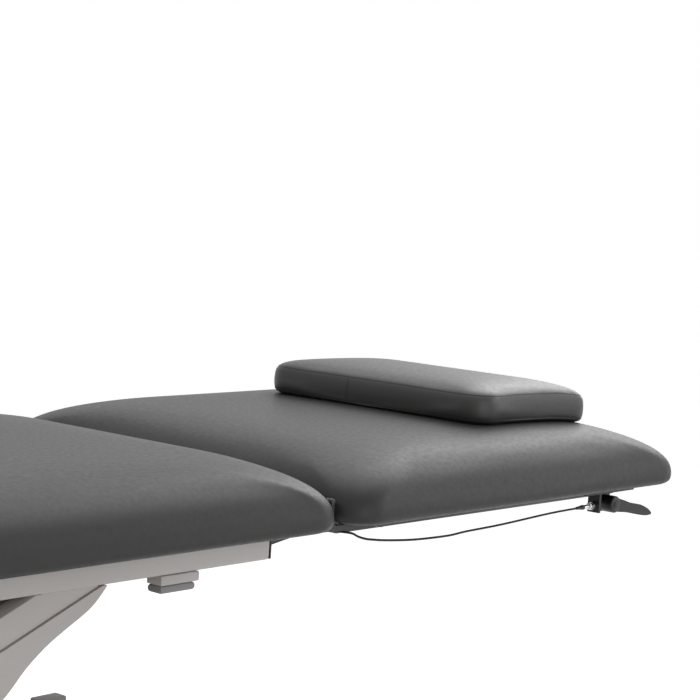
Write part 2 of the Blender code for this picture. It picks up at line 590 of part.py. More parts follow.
eye = FORK_IN - 0.0005
housing = add("actuator_housing", along(rod((0.060, 0, 0), (HOUSING_END, 0, 0), HOUSING_RADIUS)),
              "grey_plastic", "actuator_housing")
join(housing, along(block((0.030, 0.085), (-0.028, 0.088), (-0.030, 0.030))),
     along(rod((0.070, 0.056, 0), (0.200, 0.056, 0), MOTOR_RADIUS)),
     along(rod((0.0, 0, 0), (0.035, 0, 0), 0.013, 16)),
     along(cross((0.0, 0.0), FORK_EYE, -eye, eye)))
cut(housing, along(cross((0.0, 0.0), FORK_PIN + PIN_GAP, -0.05, 0.05, 16)),
    along(rod((0.045, 0, 0), (HOUSING_END + 0.01, 0, 0), LIFT_ROD_RADIUS + 0.0006)))
lift_rod = add("actuator_rod", along(rod((reach - LIFT_ROD_LENGTH, 0, 0), (reach - 0.010, 0, 0),
        LIFT_ROD_RADIUS)),
               "bright_steel", "actuator_rod")
join(lift_rod, along(cross((reach, 0.0), FORK_EYE, -eye, eye)))
cut(lift_rod, along(cross((reach, 0.0), FORK_PIN + PIN_GAP, -0.05, 0.05, 16)))

# Base
base_z = (FOOT_HEIGHT + SEAT_GAP, FOOT_HEIGHT + SEAT_GAP + BASE_TUBE)
base_in, base_out = BASE_CENTRE_Y - BASE_TUBE / 2, BASE_CENTRE_Y + BASE_TUBE / 2
base_x = (-BASE_FOOT_END, BASE_HEAD_END)
pad_x = stop_x + LOW_SHIFT
post_top = PAD_TOP - BUFFER_HEIGHT - SEAT_GAP
for side, y0, y1, s in sides(base_in, base_out):
    base_tube = add("base_tube_" + side, block(base_x, (y0, y1), base_z), "taupe_paint", "base",
            TUBE_ROUND)
    lug_y = sorted((s * GUSSET_IN, s * GUSSET_OUT))
    for c in (LOWER_FRONT, LOWER_REAR):
        foot = [(c[0] - 0.050, base_z[1] - 0.010), (c[0] + 0.050, base_z[1] - 0.010)]
        join(base_tube, plate([hull(circle(c, ARM_HALF) + foot), circle(c, bore)], *lug_y))
    post_y = sorted((s * (RAIL_CENTRE_Y - 0.0075), s * (RAIL_CENTRE_Y + 0.0125)))
    join(base_tube, block((pad_x - 0.020, pad_x + 0.020), post_y, (base_z[1] - 0.010, post_top)))
    pad_y = sorted((s * (RAIL_CENTRE_Y - 0.010), s * (RAIL_CENTRE_Y + 0.015)))
    add("buffer_" + side, block((pad_x - 0.025, pad_x + 0.025), pad_y, (post_top + SEAT_GAP, PAD_TOP)),
        "grey_rubber", "base", 0.003)
    for end, x in (("foot", base_x[0] + 0.050), ("head", base_x[1] - 0.050)):
        add("foot_" + side + "_" + end, rod((x, s * BASE_CENTRE_Y, 0), (x, s * BASE_CENTRE_Y,
                FOOT_HEIGHT), FOOT_RADIUS),
            "grey_rubber", "base", 0.003)
base_inner = base_in - SEAT_GAP
for end, x in (("foot", base_x[0] + 0.022), ("mid", BASE_PIN[0]), ("head", base_x[1] - 0.022)):
    beam = add("base_cross_" + end, block((x - BASE_TUBE / 2, x + BASE_TUBE / 2), (-base_inner,
            base_inner), base_z),
               "taupe_paint", "base", TUBE_ROUND)
    if end == "mid":
        for side, y0, y1, s in sides(FORK_IN, FORK_OUT):
            join(beam, plate([hull(circle(BASE_PIN, 0.018) + [(x - 0.016, base_z[1] - 0.012),
                                                              (x + 0.016,
                                                                      base_z[1] - 0.012)])], y0, y1))
        join(beam, cross(BASE_PIN, FORK_PIN, -FORK_OUT - 0.002, FORK_OUT + 0.002, 16))
for end, c in (("front", LOWER_FRONT), ("rear", LOWER_REAR)):
    add("lower_axle_" + end, cross(c, AXLE_RADIUS, -AXLE_HALF, AXLE_HALF), "bright_steel", "base")
box_x = base_x[1] - 0.022 - BASE_TUBE / 2 - SEAT_GAP
add("control_box", block((box_x - 0.190, box_x), (-0.080, 0.080), (base_z[0] + 0.004,
        base_z[0] + 0.064)),
    "grey_plastic", "base", 0.006)
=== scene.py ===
import json
import math

import bmesh
import bpy
import numpy as np
from mathutils import Matrix, Vector


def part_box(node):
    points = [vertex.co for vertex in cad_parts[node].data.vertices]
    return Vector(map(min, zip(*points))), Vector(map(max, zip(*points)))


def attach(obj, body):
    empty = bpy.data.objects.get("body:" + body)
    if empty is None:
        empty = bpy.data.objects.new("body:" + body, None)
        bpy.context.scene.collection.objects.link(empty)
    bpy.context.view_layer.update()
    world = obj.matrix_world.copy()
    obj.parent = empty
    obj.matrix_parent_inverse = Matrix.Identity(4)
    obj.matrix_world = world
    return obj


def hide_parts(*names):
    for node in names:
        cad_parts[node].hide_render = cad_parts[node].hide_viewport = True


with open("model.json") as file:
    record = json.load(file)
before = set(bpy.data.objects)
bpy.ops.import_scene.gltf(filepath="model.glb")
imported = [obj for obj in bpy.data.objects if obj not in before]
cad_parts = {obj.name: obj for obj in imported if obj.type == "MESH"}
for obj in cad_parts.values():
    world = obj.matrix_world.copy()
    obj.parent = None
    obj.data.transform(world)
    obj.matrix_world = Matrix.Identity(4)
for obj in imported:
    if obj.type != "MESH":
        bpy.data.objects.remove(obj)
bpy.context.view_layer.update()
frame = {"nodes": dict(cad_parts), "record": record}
nodes = frame["nodes"]
scene = bpy.context.scene
scene.view_settings.view_transform = "Standard"
print("frame loaded:", len(nodes), "nodes")

# Main levels of the table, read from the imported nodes
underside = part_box("seat_board")[0].z
hingeX = (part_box("seat_cushion")[1].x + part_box("back_cushion")[0].x) / 2
joints = {j["name"]: np.array(j["pos_m"]) for j in frame["record"]["behaviour"]["joints"]}

# Camera at the photograph's angle
cameraSet = {"lens": 105.763, "sensor": 36.0, "clip": (0.05, 120.0),
             "place": (-1.7112, -1.9324, underside + 0.4456),
             "right": (0.6452, -0.7614, 0.0640), "down": (-0.0268, -0.1063, -0.9940)}
right = Vector(cameraSet["right"]).normalized()
up = -Vector(cameraSet["down"])
up = (up - right * up.dot(right)).normalized()
turn = Matrix((right, up, right.cross(up))).transposed().to_4x4()
camera = bpy.data.objects.new("camera", bpy.data.cameras.new("camera"))
camera.data.lens = cameraSet["lens"]
camera.data.sensor_width = cameraSet["sensor"]
camera.data.clip_start, camera.data.clip_end = cameraSet["clip"]
camera.matrix_world = Matrix.Translation(cameraSet["place"]) @ turn
scene.collection.objects.link(camera)
scene.camera = camera


# Finishes
def newFinish(name):
    finish = bpy.data.materials.new(name)
    finish.use_nodes = True
    tree = finish.node_tree
    return finish, tree, tree.nodes["Principled BSDF"]


def shaderNode(tree, kind, inputs=None, **settings):
    made = tree.nodes.new(kind)
    for key, value in settings.items():
        setattr(made, key, value)
    for key, value in (inputs or {}).items():
        if isinstance(value, bpy.types.NodeSocket):
            tree.links.new(value, made.inputs[key])
        else:
            made.inputs[key].default_value = value
    return made


def ramp(tree, value, stops):
    made = shaderNode(tree, "ShaderNodeValToRGB", {"Fac": value})
    while len(made.color_ramp.elements) < len(stops):
        made.color_ramp.elements.new(0.5)
    for element, (place, shade) in zip(made.color_ramp.elements, stops):
        element.position = place
        element.color = (*shade, 1.0)
    return made.outputs["Color"]


def grey(v):
    return (v, v, v)


def tint(colour, k):
    return tuple(min(1.0, c * k) for c in colour)


grainSet = {"broad": 5.0, "broadDetail": 4.0, "fineDetail": 3.0, "low": 0.3, "high": 0.7, "spread": 0.05,
            "bump": 0.35}


# Colour drifts with broad noise, roughness with finer noise, and the bump is grain cells plus a fine noise
def grainFinish(name, colour, rough, drift, cells, depth, fine, metallic=0.0, specular=0.5):
    g = grainSet
    finish, tree, shader = newFinish(name)
    place = shaderNode(tree, "ShaderNodeTexCoord").outputs["Object"]
    broadNoise = {"Vector": place, "Scale": g["broad"], "Detail": g["broadDetail"]}
    broad = shaderNode(tree, "ShaderNodeTexNoise", broadNoise).outputs["Fac"]
    fineNoise = {"Vector": place, "Scale": fine, "Detail": g["fineDetail"]}
    small = shaderNode(tree, "ShaderNodeTexNoise", fineNoise).outputs["Fac"]
    cell = shaderNode(tree, "ShaderNodeTexVoronoi", {"Vector": place, "Scale": cells}).outputs["Distance"]
    shade = ramp(tree, broad, [(g["low"], tint(colour, 1 - drift)), (g["high"], tint(colour, 1 + drift))])
    tree.links.new(shade, shader.inputs["Base Color"])
    gloss = ramp(tree, small, [(g["low"], grey(rough - g["spread"])), (g["high"], grey(rough + g["spread"]))])
    tree.links.new(gloss, shader.inputs["Roughness"])
    height = shaderNode(tree, "ShaderNodeMath", {0: cell, 1: small}, operation="ADD").outputs[0]
    bump = shaderNode(tree, "ShaderNodeBump", {"Strength": g["bump"], "Distance": depth, "Height": height})
    tree.links.new(bump.outputs["Normal"], shader.inputs["Normal"])
    shader.inputs["Metallic"].default_value = metallic
    shader.inputs["Specular IOR Level"].default_value = specular
    return finish


# Each finish: colour, roughness, drift, grain cells, bump depth, fine noise
finishes = {
    "upholstery": grainFinish("satinUpholstery", (0.0215, 0.0209, 0.0204), 0.50, 0.05, 720.0, 0.00005, 160.0,
                              specular=0.36),
    "board": grainFinish("plyBoard", (0.30, 0.21, 0.125), 0.66, 0.16, 90.0, 0.0004, 60.0),
    "taupe_paint": grainFinish("taupePowderCoat", (0.630, 0.590, 0.572), 0.44, 0.02, 260.0, 0.0002, 420.0),
    "black_paint": grainFinish("blackPowderCoat", (0.018, 0.018, 0.019), 0.42, 0.06, 300.0, 0.0002, 420.0),
    "grey_rubber": grainFinish("greyRubber", (0.350, 0.343, 0.339), 0.72, 0.08, 500.0, 0.0003, 300.0),
    "black_plastic": grainFinish("blackMoulded", (0.010, 0.010, 0.0108), 0.40, 0.06, 900.0, 0.00015, 500.0,
                                 specular=0.36),
    "grey_plastic": grainFinish("greyMoulded", (0.12, 0.12, 0.125), 0.48, 0.05, 800.0, 0.0002, 400.0),
    "bright_steel": grainFinish("groundSteel", (0.60, 0.60, 0.61), 0.26, 0.04, 200.0, 0.0001, 500.0,
                                metallic=1.0),
}
cableFinish = grainFinish("cableSheath", (0.0075, 0.0075, 0.0080), 0.55, 0.06, 900.0, 0.0001, 500.0,
                          specular=0.2)
# Pillow upholstery is a lighter copy of the cushion upholstery: painted light, so the pillow looks more
# brightly lit from the head side than the cushions
pillowPaintedLightFinish = grainFinish("pillowUpholsteryPaintedLight", (0.0335, 0.0326, 0.0319), 0.44, 0.05, 720.0, 0.00005, 160.0)
slotOf = {row["node"]: row["material_slot"] for row in frame["record"]["subparts"]}


def dress(piece, slot):
    piece.data.materials.clear()
    piece.data.materials.append(finishes[slot])


# CAD nodes keep their shape: welded, smooth where round and split at sharp edges
solidSet = {"weld": 0.00004, "crisp": math.radians(32)}
for name, solid in nodes.items():
    solid.data.materials.clear()
    solid.data.materials.append(finishes[slotOf[name]])
    solid.data.polygons.foreach_set("use_smooth", [True] * len(solid.data.polygons))
    weld = solid.modifiers.new("weld", "WELD")
    weld.merge_threshold = solidSet["weld"]
    split = solid.modifiers.new("crisp", "EDGE_SPLIT")
    split.split_angle = solidSet["crisp"]
print("finishes on CAD nodes done")


# Mesh from a grid of points, rows by columns: columns wrap round, ends close on a middle point where asked
def gridPiece(name, grid, closeFirst=False, closeLast=False):
    rows, cols = grid.shape[:2]
    index = np.arange(rows * cols).reshape(rows, cols)
    step = np.roll(index, -1, axis=1)
    quads = np.stack([index[:-1], step[:-1], step[1:], index[1:]], axis=-1).reshape(-1, 4).tolist()
    points = grid.reshape(-1, 3)
    if closeFirst:
        points = np.vstack([points, grid[0].mean(0)])
        quads += [[len(points) - 1, b, a] for a, b in zip(index[0].tolist(), step[0].tolist())]
    if closeLast:
        points = np.vstack([points, grid[-1].mean(0)])
        quads += [[len(points) - 1, a, b] for a, b in zip(index[-1].tolist(), step[-1].tolist())]
    mesh = bpy.data.meshes.new(name)
    mesh.from_pydata(points.tolist(), [], quads)
    mesh.polygons.foreach_set("use_smooth", [True] * len(mesh.polygons))
    piece = bpy.data.objects.new(name, mesh)
    scene.collection.objects.link(piece)
    return piece


# Rounded rectangle: four quarter circles joined by straight edges; the corners at +X may have their own radius
def roundedLoop(halfX, halfY, corner, arc=14, longEdge=36, shortEdge=22, headCorner=None):
    loop = []
    for k, (sx, sy) in enumerate(((1, 1), (-1, 1), (-1, -1), (1, -1))):
        r = headCorner if headCorner and sx > 0 else corner
        a = np.radians(90 * k + np.linspace(0, 90, arc))
        loop.append(np.c_[sx * (halfX - r) + r * np.cos(a), sy * (halfY - r) + r * np.sin(a)])
    out = []
    for k in range(4):
        out.append(loop[k])
        count = longEdge if k % 2 == 0 else shortEdge
        t = np.linspace(0, 1, count + 2)[1:-1, None]
        out.append(loop[k][-1] * (1 - t) + loop[(k + 1) % 4][0] * t)
    return np.vstack(out)


clothSet = {"quality": 6, "mass": 0.4, "stretch": 18, "bend": 3}


# Cloth with pressure from inside, underside pinned, each point's move held to a cap
def puff(piece, pinned, pressure, frames, cap):
    start = np.empty(len(piece.data.vertices) * 3)
    piece.data.vertices.foreach_get("co", start)
    start = start.reshape(-1, 3)
    group = piece.vertex_groups.new(name="held")
    group.add(np.flatnonzero(pinned).tolist(), 1.0, "REPLACE")
    cloth = piece.modifiers.new("cloth", "CLOTH")
    cloth.settings.vertex_group_mass = "held"
    cloth.settings.quality = clothSet["quality"]
    cloth.settings.mass = clothSet["mass"]
    cloth.settings.tension_stiffness = cloth.settings.compression_stiffness = clothSet["stretch"]
    cloth.settings.bending_stiffness = clothSet["bend"]
    cloth.settings.use_pressure = True
    cloth.settings.uniform_pressure_force = pressure
    cloth.settings.effector_weights.gravity = 0
    cloth.collision_settings.use_collision = False
    for step in range(1, frames + 1):
        scene.frame_set(step)
    settled = piece.evaluated_get(bpy.context.evaluated_depsgraph_get()).to_mesh()
    moved = np.empty(len(start) * 3)
    settled.vertices.foreach_get("co", moved)
    move = moved.reshape(-1, 3) - start
    piece.modifiers.remove(cloth)
    scene.frame_set(1)
    far = np.linalg.norm(move, axis=1, keepdims=True)
    move *= np.minimum(1.0, cap / np.maximum(far, 1e-9))
    print(piece.name, "cloth moved up to", round(float(far.max()) * 1000, 1), "mm, held to", cap * 1000)
    piece.data.vertices.foreach_set("co", (start + move).ravel())
    piece.vertex_groups.clear()
    piece.data.update()


def refine(piece):
    made = piece.modifiers.new("refine", "SUBSURF")
    made.levels = made.render_levels = 1


# Release cable, the route that the CAD solid follows
cableSet = {"radius": 0.0015, "steps": 4, "round": 3, "route": [
    (0.0992, -0.0262, -0.0590), (0.088, -0.0280, -0.0540), (0.070, -0.045, -0.0340), (0.052, -0.080, -0.0260),
    (0.040, -0.130, -0.0200), (0.034, -0.200, -0.0150), (0.028, -0.255, -0.0122), (0.0265, -0.284, -0.0114),
    (0.0300, -0.3005, -0.0110), (0.0395, -0.3087, -0.0126), (0.0503, -0.3097, -0.0174),
    (0.0645, -0.3097, -0.0216), (0.0786, -0.3097, -0.0241), (0.1112, -0.308, -0.0285),
    (0.1698, -0.308, -0.0333), (0.2406, -0.308, -0.0350), (0.2801, -0.308, -0.0331),
    (0.3622, -0.308, -0.0311), (0.4795, -0.308, -0.0258), (0.5580, -0.308, -0.0245)]}


# Cubic through the points: each span is weighted by its two neighbours
def throughPoints(points, steps):
    p = np.vstack([points[:1], points, points[-1:]])
    t = np.arange(steps)[None, :, None] / steps
    a, b, c, d = (p[i:len(p) - 3 + i, None, :] for i in range(4))
    spans = 0.5 * (2 * b + (c - a) * t + (2 * a - 5 * b + 4 * c - d) * t ** 2
                   + (3 * b - a - 3 * c + d) * t ** 3)
    return np.vstack([spans.reshape(-1, points.shape[1]), points[-1:]])


cableLine = throughPoints(np.array(cableSet["route"]) + (hingeX, 0, underside), cableSet["steps"])
cableCurve = bpy.data.curves.new("releaseCable", "CURVE")
cableCurve.dimensions = "3D"
cableCurve.bevel_depth = cableSet["radius"]
cableCurve.bevel_resolution = cableSet["round"]
cableCurve.use_fill_caps = True
strand = cableCurve.splines.new("POLY")
strand.points.add(len(cableLine) - 1)
strand.points.foreach_set("co", np.c_[cableLine, np.ones(len(cableLine))].ravel())
strand.use_smooth = True
releaseCable = bpy.data.objects.new("releaseCable", cableCurve)
scene.collection.objects.link(releaseCable)
dress(releaseCable, "black_plastic")
releaseCable.data.materials[0] = cableFinish
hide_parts("release_cable")
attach(releaseCable, "back_section")

# Foam cushions: one swelling top, whose height is the root of one less a power of u, with u from 1 at the lip
# to 0 in the middle; rolls and corners are for the foot end and the head end
cushionSet = {"height": 0.086, "lip": 0.018, "power": 6.5, "mean": 6, "widest": 0.94,
              "seatRolls": (0.46, 0.38), "seatCorners": (0.045, 0.052), "seatSoft": 0.32,
              "backRolls": (0.34, 0.48), "backCorners": (0.054, 0.062), "backSoft": 0.29,
              "boardInset": 0.0405, "boardCorner": 0.02, "boardLevels": (0.0152, 0.0010), "pull": 0.003,
              "hem": (0.034, 0.025), "hemPull": 0.3, "under": (0.022, 0.020, -0.012),
              "turn": (0.012, 0.010, 0.010), "turnAngles": (0, 20, 45, 70), "side": 0.013,
              "topAngles": (0, 8, 16, 24, 32, 40, 47, 54, 60, 66, 71, 76, 80, 83.5, 86, 88),
              "middle": (0.12, 0.26, 0.42, 0.60, 0.78, 0.92),
              "heldBelow": 0.012, "pressure": 1.2, "frames": 10, "cap": 0.0025}


# Height of the top above the underside; u joins the end's and the long side's in a power mean
def cushionTop(x, y, half, rolls):
    s = cushionSet
    ends = np.maximum(1 - (half[0] + x) / rolls[0], 1 - (half[0] - x) / rolls[1])
    m = s["mean"]
    u = np.clip((np.maximum(ends, 0) ** m + (np.abs(y) / half[1]) ** m) ** (1 / m), 0, 1)
    return s["lip"] + (s["height"] - s["lip"]) * np.sqrt(1 - u ** s["power"])


# Rows: in under the edge, round the lip, then level rings of the top that close in towards the middle
def cushion(name, node, body, rolls, corners, soften):
    low, high = (np.array(c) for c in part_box(node))
    s = cushionSet
    mid, half = (low + high)[:2] / 2, (high - low)[:2] / 2
    rows = []

    def row(insetX, insetY, z, soft=0.0, pull=1.0, corner=None):
        ends = np.broadcast_to(insetX, 2)
        halfX, halfY = half[0] - ends.mean(), half[1] - insetY
        most = s["widest"] * min(halfX, halfY)
        foot, head = (corner or min(most, c + soft) for c in corners)
        loop = roundedLoop(halfX, halfY, foot, headCorner=head)
        loop[:, 0] += (ends[0] - ends[1]) / 2
        drawn = loop.copy()
        drawn[:, 0] *= 1 - pull * s["pull"] / 2 / half[0] * (1 - (loop[:, 1] / half[1]) ** 2)
        drawn[:, 1] *= 1 - pull * s["pull"] / half[1] * (1 - (loop[:, 0] / half[0]) ** 2)
        rows.append(np.c_[drawn, np.full(len(drawn), z)])

    for z in s["boardLevels"]:
        row(s["boardInset"], s["boardInset"], z, 0.0, 0.0, s["boardCorner"])
    hemInset, hemCorner = s["hem"]
    row(hemInset, hemInset, 0.0, 0.0, s["hemPull"], hemCorner)
    underX, underY, underSoft = s["under"]
    row(underX, underY, 0.0, underSoft)
    turnX, turnY, turnZ = s["turn"]
    for a in np.radians(s["turnAngles"]):
        row(turnX * (1 - math.sin(a)), turnY * (1 - math.sin(a)), turnZ * (1 - math.cos(a)))
    row(0.0, 0.0, s["side"])
    for a in np.radians(s["topAngles"]):
        u = math.cos(a) ** (2 / s["power"])
        z = s["lip"] + (s["height"] - s["lip"]) * math.sin(a)
        row(np.array(rolls) * (1 - u), half[1] * (1 - u), z, soften * (1 - u), u)
    edge = rows[-1]
    for f in s["middle"]:
        flat = edge * (1 - f) + edge.mean(0) * f
        flat[:, 2] = cushionTop(flat[:, 0], flat[:, 1], half, rolls)
        rows.append(flat)
    grid = np.array(rows)
    grid += (mid[0], mid[1], underside)
    piece = gridPiece(name, grid, closeFirst=True, closeLast=True)
    held = np.array([v.co.z < underside + s["heldBelow"] for v in piece.data.vertices])
    puff(piece, held, s["pressure"], s["frames"], s["cap"])
    refine(piece)
    dress(piece, "upholstery")
    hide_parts(node)
    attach(piece, body)


cushion("seatPad", "seat_cushion", "upper_frame", cushionSet["seatRolls"], cushionSet["seatCorners"],
        cushionSet["seatSoft"])
cushion("backPad", "back_cushion", "back_section", cushionSet["backRolls"], cushionSet["backCorners"],
        cushionSet["backSoft"])
print("foam cushions done")

# Loose pillow: boxed sides between an upper and a lower seam, sides drawn in between the corners; the profile
# gives each row's inset and height
pillowSet = {"corner": 0.042, "tightest": 0.012, "ease": 0.3, "arc": 10, "edges": (26, 18), "pull": 0.005,
             "grow": 0.006, "heldRows": 5, "pressure": 2.0, "frames": 12, "cap": 0.0012, "seams": (8, 16),
             "profile": [(0.095, 0.0), (0.060, 0.0), (0.032, 0.0), (0.018, 0.0004), (0.010, 0.0018),
                         (0.005, 0.0040), (0.0022, 0.0062), (0.0030, 0.0072), (0.0016, 0.0084),
                         (0.0006, 0.0130), (0.0, 0.0200), (0.0, 0.0270), (0.0004, 0.0340), (0.0012, 0.0390),
                         (0.0028, 0.0420), (0.0040, 0.0430), (0.0040, 0.0438), (0.0058, 0.0458),
                         (0.0095, 0.0484), (0.0165, 0.0510), (0.028, 0.0533), (0.045, 0.0553),
                         (0.066, 0.0568), (0.090, 0.0577), (0.115, 0.0580)]}


def pillow():
    low, high = (np.array(c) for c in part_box("pillow"))
    s = pillowSet
    mid, half = (low + high)[:2] / 2, (high - low)[:2] / 2 + s["grow"]
    rows = []
    for inset, z in s["profile"]:
        corner = max(s["tightest"], s["corner"] - s["ease"] * inset)
        loop = roundedLoop(half[0] - inset, half[1] - inset, corner, s["arc"], *s["edges"])
        drawn = loop.copy()
        drawn[:, 0] *= 1 - s["pull"] / half[0] * (1 - (loop[:, 1] / half[1]) ** 2)
        drawn[:, 1] *= 1 - s["pull"] / half[1] * (1 - (loop[:, 0] / half[0]) ** 2)
        rows.append(np.c_[drawn, np.full(len(drawn), z)])
    grid = np.array(rows)
    # It lies on the crowned cushion, so its edges droop with the top below them
    bedLow, bedHigh = (np.array(c)[:2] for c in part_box("back_cushion"))
    bed = mid - (bedLow + bedHigh) / 2
    top = cushionTop(grid[..., 0] + bed[0], grid[..., 1] + bed[1], (bedHigh - bedLow) / 2,
                     cushionSet["backRolls"])
    grid[..., 2] -= cushionSet["height"] - top
    grid += (mid[0], mid[1], low[2])
    piece = gridPiece("pillowPad", grid, closeFirst=True, closeLast=True)
    flat = np.arange(len(piece.data.vertices)) < s["heldRows"] * grid.shape[1]
    puff(piece, flat, s["pressure"], s["frames"], s["cap"])
    settled = np.empty(len(piece.data.vertices) * 3)
    piece.data.vertices.foreach_get("co", settled)
    settled = settled.reshape(-1, 3)[:grid.shape[0] * grid.shape[1]].reshape(grid.shape)
    refine(piece)
    dress(piece, "upholstery")
    # The pillow takes the lighter copy of the upholstery, which is painted light
    piece.data.materials[0] = pillowPaintedLightFinish
    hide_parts("pillow")
    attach(piece, "pillow")
    return settled


pillowRows = pillow()
print("pillow done")

hardwareCrisp = math.radians(38)


# Small hardware: closed tubes of any rows by columns, gathered into one mesh
def gather(name, grids, slot, body):
    points, faces, base = [], [], 0
    for grid in grids:
        rows, cols = grid.shape[:2]
        index = base + np.arange(rows * cols).reshape(rows, cols)
        step = np.roll(index, -1, axis=1)
        faces += np.stack([index[:-1], step[:-1], step[1:], index[1:]], axis=-1).reshape(-1, 4).tolist()
        faces += [index[0, ::-1].tolist(), index[-1].tolist()]
        points.append(grid.reshape(-1, 3))
        base += rows * cols
    mesh = bpy.data.meshes.new(name)
    mesh.from_pydata(np.vstack(points).tolist(), [], faces)
    faceOut(mesh)
    mesh.polygons.foreach_set("use_smooth", [True] * len(mesh.polygons))
    piece = bpy.data.objects.new(name, mesh)
    scene.collection.objects.link(piece)
    split = piece.modifiers.new("crisp", "EDGE_SPLIT")
    split.split_angle = hardwareCrisp
    dress(piece, slot)
    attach(piece, body)
    return piece


def faceOut(mesh):
    work = bmesh.new()
    work.from_mesh(mesh)
    bmesh.ops.recalc_face_normals(work, faces=work.faces)
    work.to_mesh(mesh)
    work.free()


def acrossOf(axis):
    axis = np.asarray(axis, float) / np.linalg.norm(axis)
    first = np.cross(axis, (0.0, 0.0, 1.0) if abs(axis[2]) < 0.9 else (1.0, 0.0, 0.0))
    first /= np.linalg.norm(first)
    return axis, first, np.cross(axis, first)


# Turned shape: radius and height along an axis; a third value of 1 makes that row a hexagon
def turned(profile, centre, axis, sides=36):
    rows = np.array([(*p, 0)[:3] for p in profile], float)
    axis, first, second = acrossOf(axis)
    a = np.linspace(0, 2 * np.pi, sides, endpoint=False)
    hexagon = math.cos(math.pi / 6) / np.cos((a % (math.pi / 3)) - math.pi / 6)
    radius = rows[:, :1] * np.where(rows[:, 2:] > 0, hexagon[None, :] / hexagon.max(), 1.0)
    spoke = np.cos(a)[:, None] * first + np.sin(a)[:, None] * second
    return np.asarray(centre) + rows[:, 1, None, None] * axis + radius[..., None] * spoke[None]


beadSet = {"step": 0.0011, "swell": 0.16, "taper": 0.003, "least": 0.15, "sides": 8}


# Weld bead: a tube along a line whose radius ripples with the travel
def bead(start, end, radius=0.0017, ripple=0.0030):
    b = beadSet
    start, end = np.asarray(start, float), np.asarray(end, float)
    span = np.linalg.norm(end - start)
    s = np.linspace(0, span, max(4, int(span / b["step"])))
    axis, first, second = acrossOf(end - start)
    a = np.linspace(0, 2 * np.pi, b["sides"], endpoint=False)
    ends = np.sqrt(np.clip(np.minimum(s, span - s) / b["taper"], b["least"], 1))
    girth = radius * (1 + b["swell"] * np.sin(2 * np.pi * s / ripple)) * ends
    spoke = np.cos(a)[:, None] * first + np.sin(a)[:, None] * second
    return start + s[:, None, None] * axis + girth[:, None, None] * spoke[None]


# Capsule: length along a direction, radius falling to the ends as a half ellipse
def capsule(centre, along, length, radius, rows=6, sides=6, reach=0.96):
    axis, first, second = acrossOf(along)
    t = np.linspace(-reach, reach, rows)
    a = np.linspace(0, 2 * np.pi, sides, endpoint=False)
    spoke = np.cos(a)[:, None] * first + np.sin(a)[:, None] * second
    girth = radius * np.sqrt(1 - t ** 2)
    return np.asarray(centre) + (t * length / 2)[:, None, None] * axis + girth[:, None, None] * spoke


# Even steps along a closed line, with the direction of travel at each
def paced(loop, pitch, look=0.001):
    closed = np.vstack([loop, loop[:1]])
    gaps = np.linalg.norm(np.diff(closed, axis=0), axis=1)
    travel = np.r_[0, np.cumsum(gaps)]
    count = max(4, int(travel[-1] / pitch))
    s = np.arange(count) * travel[-1] / count
    at = np.c_[[np.interp(s, travel, closed[:, i]) for i in range(3)]].T
    ahead = np.c_[[np.interp((s + look) % travel[-1], travel, closed[:, i]) for i in range(3)]].T
    return at, ahead - at


# Pillow stitching along both seams and the join in its foot-side border
stitchSet = {"pitch": 0.0050, "length": 0.0034, "radius": 0.00040, "joinY": 0.042, "joinBead": (0.0006, 0.004)}
lowSeam, highSeam = pillowSet["seams"]
stitches = []
for seam in (lowSeam, highSeam):
    for at, ahead in zip(*paced(pillowRows[seam], stitchSet["pitch"])):
        stitches.append(capsule(at, ahead, stitchSet["length"], stitchSet["radius"]))
gather("pillowStitches", stitches, "upholstery", "pillow")
joinSide = pillowRows[lowSeam - 1:highSeam + 1]
sideX, sideY = joinSide[len(joinSide) // 2 - 1, :, :2].T
joinAway = np.where(sideX < sideX.mean(), np.abs(sideY - stitchSet["joinY"]), np.inf)
joinLine = joinSide[:, np.argmin(joinAway)]
joinBeads = [bead(a, b, *stitchSet["joinBead"]) for a, b in zip(joinLine[:-1], joinLine[1:])]
gather("pillowJoin", joinBeads, "upholstery", "pillow")

# Bolt heads with washers on the axle ends
boltSet = {"face": 0.2737,
           "profile": [(0.0165, 0.0), (0.0165, 0.0016), (0.0158, 0.0021), (0.0138, 0.0021, 1),
                       (0.0138, 0.0074, 1), (0.0124, 0.0086, 1), (0.0100, 0.0089), (0.0030, 0.0089)]}


def axleBolts(name, pivots, body):
    heads = [turned(boltSet["profile"], pivot + (0, side * boltSet["face"], 0), (0, side, 0))
             for pivot in pivots for side in (-1, 1)]
    gather(name, heads, "bright_steel", body)


lowerPivots = [joints["lift"], joints["rear_lift"]]
upperPivots = [joints["top_level"], joints["top_level"] + joints["rear_lift"] - joints["lift"]]
axleBolts("upperAxleBolts", upperPivots, "upper_frame")
axleBolts("lowerAxleBolts", lowerPivots, "base")
rivetSet = {"proud": 0.0002, "sides": 20,
            "profile": [(0.0044, 0.0), (0.0044, 0.0008), (0.0038, 0.0017), (0.0024, 0.0023), (0.0008, 0.0025)]}
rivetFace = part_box("back_hinge_far")[1].y + rivetSet["proud"]
rivets = [turned(rivetSet["profile"], joints["back_tilt"] + (0, s * rivetFace, 0), (0, s, 0), rivetSet["sides"])
          for s in (-1, 1)]
gather("hingeRivets", rivets, "black_paint", "upper_frame")

